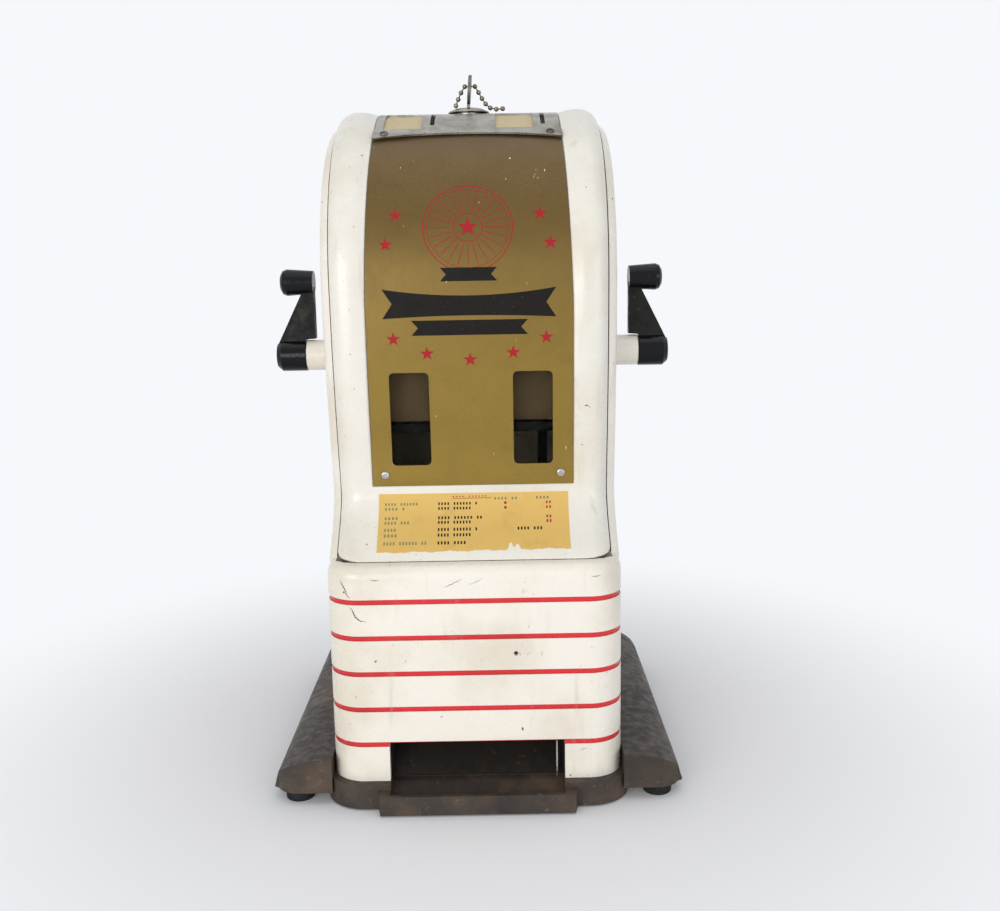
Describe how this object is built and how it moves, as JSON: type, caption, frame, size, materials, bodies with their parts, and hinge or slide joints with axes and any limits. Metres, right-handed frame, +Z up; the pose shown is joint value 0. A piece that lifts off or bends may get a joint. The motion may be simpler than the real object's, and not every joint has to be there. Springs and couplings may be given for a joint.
{
  "type": "stamp vending machine",
  "caption": "Counter-top stamp vending machine with a domed head, side levers, a keyed tilting cover, a delivery tray and a cash drawer.",
  "frame": {"origin": "centre of the machine's footprint, on the surface that its rubber feet stand on", "axes": "+X to the right as the user faces it, -Y to the user, +Z up"},
  "size_m": [0.258, 0.253, 0.4535],
  "materials": {
    "enamel": "aged cream gloss enamel with red painted grooves",
    "iron": "worn brown-black cast iron with rust",
    "rubber": "black rubber",
    "steel": "plain zinc-plated steel",
    "chrome": "worn bright plating",
    "brass": "dull brass",
    "gold_plate": "gold lacquered printed sheet metal",
    "lever_black": "chipped black gloss enamel",
    "follower_brown": "brown painted steel",
    "pane": "clear window pane",
    "card": "yellowed paper"
  },
  "bodies": {
    "case": {"base_casting": "iron", "rubber_feet": "rubber", "foot_screws": "steel", "base_bolts": "steel", "cabinet_case": "enamel", "drawer_runners": "steel", "mechanism_deck": "steel", "deck_screws": "chrome", "magazine_left": "steel", "magazine_right": "steel", "coin_chute_left": "steel", "coin_chute_right": "steel", "delivery_ramp": "steel", "guide_strip": "chrome", "bush_left": "brass", "bush_right": "brass", "return_spring_left": "steel", "return_spring_right": "steel", "strike_bar": "steel"},
    "cover": {"cover_shell": "enamel", "cover_hinge": "steel", "hinge_pins": "steel", "face_plate": "gold_plate", "face_screws": "chrome", "window_left": "pane", "window_right": "pane", "coin_plate": "chrome", "coin_plate_screws": "steel", "price_card_left": "card", "price_card_right": "card", "rate_label": "card", "lock_body": "chrome"},
    "lock": {"lock_plug": "brass", "lock_cam": "steel", "cam_screw": "steel", "key": "brass", "key_chain": "chrome"},
    "lever_l": {"lever_left": "lever_black", "grip_left": "lever_black", "shaft_left": "steel", "crank_left": "steel"},
    "lever_r": {"lever_right": "lever_black", "grip_right": "lever_black", "shaft_right": "steel", "crank_right": "steel"},
    "pusher_l": {"pusher_left": "steel"},
    "pusher_r": {"pusher_right": "steel"},
    "follower_l": {"follower_left": "follower_brown"},
    "follower_r": {"follower_right": "follower_brown"},
    "drawer": {"cash_drawer": "steel", "drawer_face": "enamel"}
  },
  "joints": [
    {"name": "cover_open", "type": "hinge", "parent": "case", "child": "cover", "pos_m": [0, -0.0905, 0.1555], "axis": [1, 0, 0], "range_deg": [0, 80]},
    {"name": "key_turn", "type": "hinge", "parent": "cover", "child": "lock", "pos_m": [0, 0.0215, 0.43], "axis": [0, 0, 1], "range_deg": [0, 90]},
    {"name": "lever_left_pull", "type": "hinge", "parent": "case", "child": "lever_l", "pos_m": [-0.12, -0.0115, 0.2714], "axis": [1, 0, 0], "range_deg": [0, 60], "stiffness_Nm_per_rad": 0.4, "springref_deg": -34.38},
    {"name": "lever_right_pull", "type": "hinge", "parent": "case", "child": "lever_r", "pos_m": [0.12, -0.0115, 0.2714], "axis": [1, 0, 0], "range_deg": [0, 60], "stiffness_Nm_per_rad": 0.4, "springref_deg": -34.38},
    {"name": "pusher_left_slide", "type": "slide", "parent": "case", "child": "pusher_l", "axis": [0, 1, 0], "range_m": [0, 0.0361]},
    {"name": "pusher_right_slide", "type": "slide", "parent": "case", "child": "pusher_r", "axis": [0, 1, 0], "range_m": [0, 0.0361]},
    {"name": "follower_left_lift", "type": "slide", "parent": "case", "child": "follower_l", "axis": [0, 0, 1], "range_m": [0, 0.05]},
    {"name": "follower_right_lift", "type": "slide", "parent": "case", "child": "follower_r", "axis": [0, 0, 1], "range_m": [0, 0.05]},
    {"name": "drawer_slide", "type": "slide", "parent": "case", "child": "drawer", "axis": [0, 1, 0], "range_m": [0, 0.085]}
  ],
  "couplings": [
    {"joint": "pusher_left_slide", "follows": "lever_left_pull", "m_per_rad": 0.034377},
    {"joint": "pusher_right_slide", "follows": "lever_right_pull", "m_per_rad": 0.034377}
  ]
}
